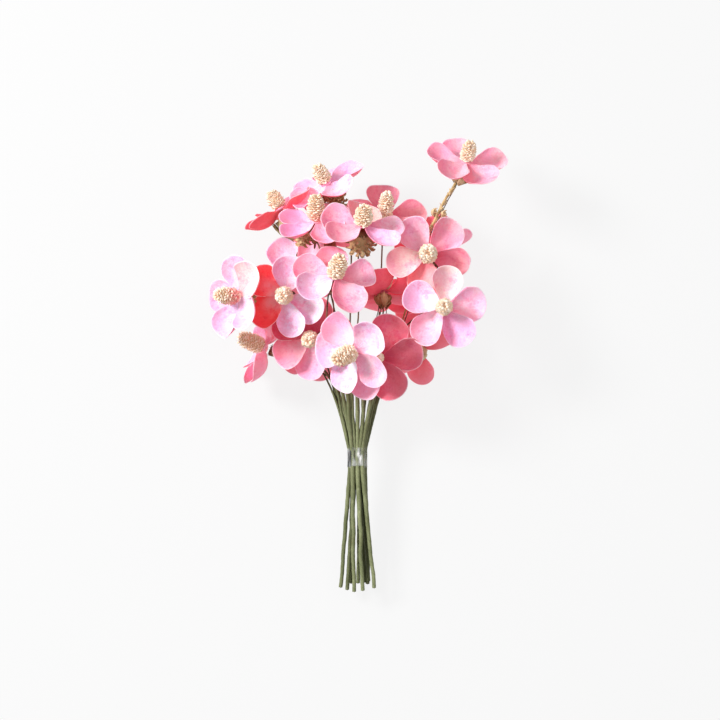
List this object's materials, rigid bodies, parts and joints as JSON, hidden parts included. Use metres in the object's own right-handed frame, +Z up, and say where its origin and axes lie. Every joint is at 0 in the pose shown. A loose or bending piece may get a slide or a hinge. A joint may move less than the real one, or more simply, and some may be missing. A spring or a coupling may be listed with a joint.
{
  "type": "dried flower bunch",
  "caption": "Tied bunch of dried pink five-petal flowers with scaly cream centres on wrapped green stalks, laid on its back.",
  "frame": {"origin": "bottom centre of the bounding box, on the table that the bunch lies on", "axes": "+Y runs along the bunch from its cut ends to its flowers, +Z points up from the table, towards the front of the bunch, and +X points to the right of the bunch seen from above with the flowers at the top"},
  "size_m": [0.2928, 0.4494, 0.1483],
  "materials": {
    "petals": "matt, dry and papery, pale pink to coral, with fine streaks",
    "scales": "matt cream scales with tan gaps",
    "stalks": "green crepe wrapping over wire, with dry straw and brown bracts",
    "tape": "clear film, slightly hazy, wound tight"
  },
  "bodies": {
    "root": {"flower_a_petals": "petals", "flower_a_spindle": "scales", "flower_b_petals": "petals", "flower_b_spindle": "scales", "flower_c_petals": "petals", "flower_c_spindle": "scales", "flower_d_petals": "petals", "flower_d_spindle": "scales", "flower_e_petals": "petals", "flower_e_spindle": "scales", "flower_f_petals": "petals", "flower_f_spindle": "scales", "flower_g_petals": "petals", "flower_g_spindle": "scales", "flower_h_petals": "petals", "flower_h_spindle": "scales", "flower_i_petals": "petals", "flower_i_spindle": "scales", "flower_j_petals": "petals", "flower_j_spindle": "scales", "flower_k_petals": "petals", "flower_k_spindle": "scales", "flower_l_petals": "petals", "flower_l_spindle": "scales", "flower_m_petals": "petals", "flower_m_spindle": "scales", "flower_n_petals": "petals", "flower_n_spindle": "scales", "flower_o_petals": "petals", "flower_o_spindle": "scales", "flower_p_petals": "petals", "flower_p_spindle": "scales", "flower_r_petals": "petals", "flower_r_spindle": "scales", "flower_s_petals": "petals", "flower_s_spindle": "scales", "flower_u_petals": "petals", "flower_u_spindle": "scales", "flower_v_petals": "petals", "flower_v_spindle": "scales", "flower_x_petals": "petals", "flower_x_spindle": "scales", "flower_y_petals": "petals", "flower_y_spindle": "scales", "stalk_1_with_cups": "stalks", "stalk_2_with_cups": "stalks", "stalk_3_with_cups": "stalks", "stalk_4_with_cups": "stalks", "stalk_5_with_cups": "stalks", "stalk_6_with_cups": "stalks", "stalk_7_with_cups": "stalks", "stalk_8_with_cups": "stalks", "stalk_9_with_cups": "stalks", "stalk_10_with_cups": "stalks", "waist_tape": "tape"}
  },
  "joints": []
}
